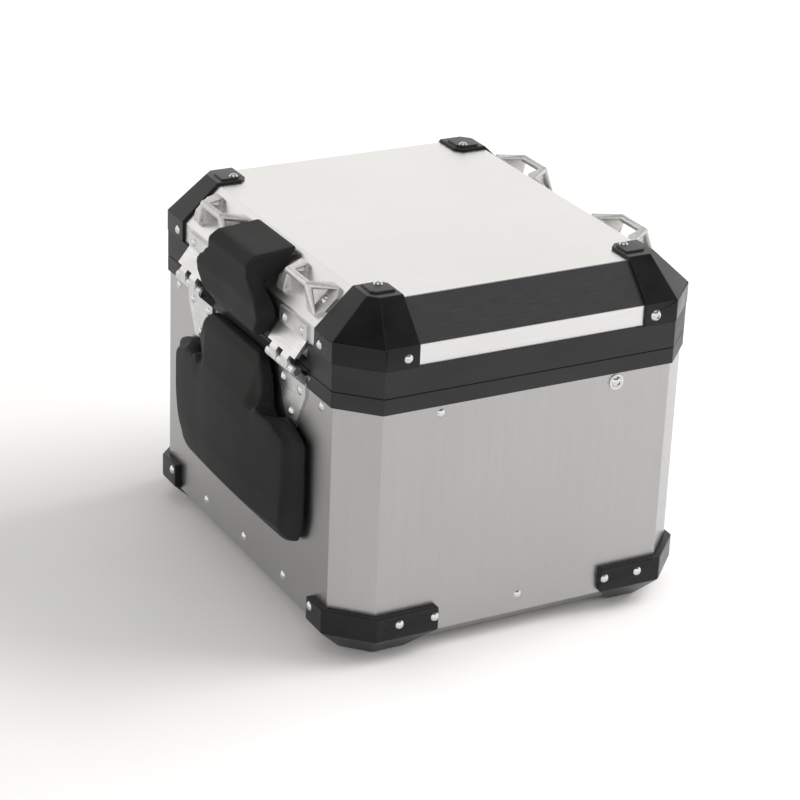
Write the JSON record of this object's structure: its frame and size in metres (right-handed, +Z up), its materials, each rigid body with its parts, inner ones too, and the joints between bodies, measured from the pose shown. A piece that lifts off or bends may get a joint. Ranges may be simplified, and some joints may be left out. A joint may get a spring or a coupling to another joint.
{
  "type": "motorcycle top case",
  "caption": "Lockable aluminium top case for a motorcycle rack, with a hinged lid, corner protectors, tie-down loops and a padded backrest.",
  "frame": {"origin": "on the ground plane under the middle of the case", "axes": "+Z up, -Y towards the rider (hinges and backrest), +X to the right"},
  "size_m": [0.386, 0.372, 0.306],
  "materials": {
    "brushed_sheet": "satin",
    "rim_black": "satin",
    "corner_black": "satin",
    "seal_rubber": "matte",
    "pad_foam": "matte",
    "trim_black": "matte",
    "cast_alloy": "satin",
    "hinge_steel": "satin",
    "lock_chrome": "polished",
    "rivet_steel": "polished"
  },
  "bodies": {
    "case": {"body_shell": "brushed_sheet", "body_rim": "rim_black", "base_corner_front_right": "corner_black", "base_corner_front_left": "corner_black", "base_corner_rear_right": "corner_black", "base_corner_rear_left": "corner_black", "base_corner_rivets": "rivet_steel", "body_rivets": "rivet_steel", "stay_screws_body": "rivet_steel", "hinge_body_leaf_right": "hinge_steel", "hinge_body_leaf_left": "hinge_steel", "hinge_pin_right": "rivet_steel", "hinge_pin_left": "rivet_steel", "hinge_body_rivets": "rivet_steel", "lower_backrest_pad": "pad_foam", "lower_pad_carrier": "trim_black", "lower_pad_screws": "rivet_steel", "latch_housing": "trim_black", "latch_pin": "rivet_steel", "release_housing": "trim_black", "release_pin": "rivet_steel", "housing_rivets": "rivet_steel", "rack_claws": "hinge_steel", "rack_latch_bracket": "hinge_steel", "rack_latch_pin": "rivet_steel", "rack_rivets": "rivet_steel"},
    "lid": {"lid_shell": "brushed_sheet", "lid_rim": "rim_black", "lid_seal": "seal_rubber", "lid_corner_front_right": "corner_black", "lid_corner_front_left": "corner_black", "lid_corner_rear_right": "corner_black", "lid_corner_rear_left": "corner_black", "lid_corner_rivets": "rivet_steel", "stay_screws_lid": "rivet_steel", "tie_down_front_right": "cast_alloy", "tie_down_front_left": "cast_alloy", "tie_down_rear_right": "cast_alloy", "tie_down_rear_left": "cast_alloy", "tie_down_bolts": "rivet_steel", "hinge_lid_leaf_right": "hinge_steel", "hinge_lid_leaf_left": "hinge_steel", "hinge_lid_rivets": "rivet_steel", "upper_backrest_pad": "pad_foam", "upper_pad_carrier": "trim_black", "upper_pad_screws": "rivet_steel", "lid_striker": "hinge_steel", "striker_rivets": "rivet_steel"},
    "latch_handle": {"latch_handle": "trim_black"},
    "latch_hook": {"latch_hook": "hinge_steel"},
    "latch_lock": {"latch_lock_barrel": "lock_chrome"},
    "release_lever": {"release_lever": "trim_black"},
    "rack_hook": {"rack_latch_hook": "hinge_steel"},
    "release_lock": {"release_lock_barrel": "lock_chrome"}
  },
  "joints": [
    {"name": "lid_hinge", "type": "hinge", "parent": "case", "child": "lid", "pos_m": [0, -0.17, 0.231], "axis": [1, 0, 0], "range_deg": [0, 90]},
    {"name": "latch_handle_hinge", "type": "hinge", "parent": "case", "child": "latch_handle", "pos_m": [0, 0.174, 0.204], "axis": [1, 0, 0], "range_deg": [0, 80]},
    {"name": "latch_hook_hinge", "type": "hinge", "parent": "case", "child": "latch_hook", "pos_m": [0, 0.174, 0.204], "axis": [1, 0, 0], "range_deg": [-24, 0]},
    {"name": "latch_lock_turn", "type": "hinge", "parent": "latch_handle", "child": "latch_lock", "pos_m": [0, 0.174, 0.177], "axis": [0, 1, 0], "range_deg": [0, 90]},
    {"name": "release_lever_hinge", "type": "hinge", "parent": "case", "child": "release_lever", "pos_m": [0, 0.174, 0.096], "axis": [1, 0, 0], "range_deg": [0, 60]},
    {"name": "rack_hook_hinge", "type": "hinge", "parent": "case", "child": "rack_hook", "pos_m": [0, 0.128, 0.024], "axis": [1, 0, 0], "range_deg": [0, 18]},
    {"name": "release_lock_turn", "type": "hinge", "parent": "release_lever", "child": "release_lock", "pos_m": [0, 0.174, 0.069], "axis": [0, 1, 0], "range_deg": [0, 90]}
  ],
  "couplings": [
    {"joint": "latch_hook_hinge", "follows": "latch_handle_hinge", "ratio": -0.3},
    {"joint": "rack_hook_hinge", "follows": "release_lever_hinge", "ratio": 0.3}
  ]
}
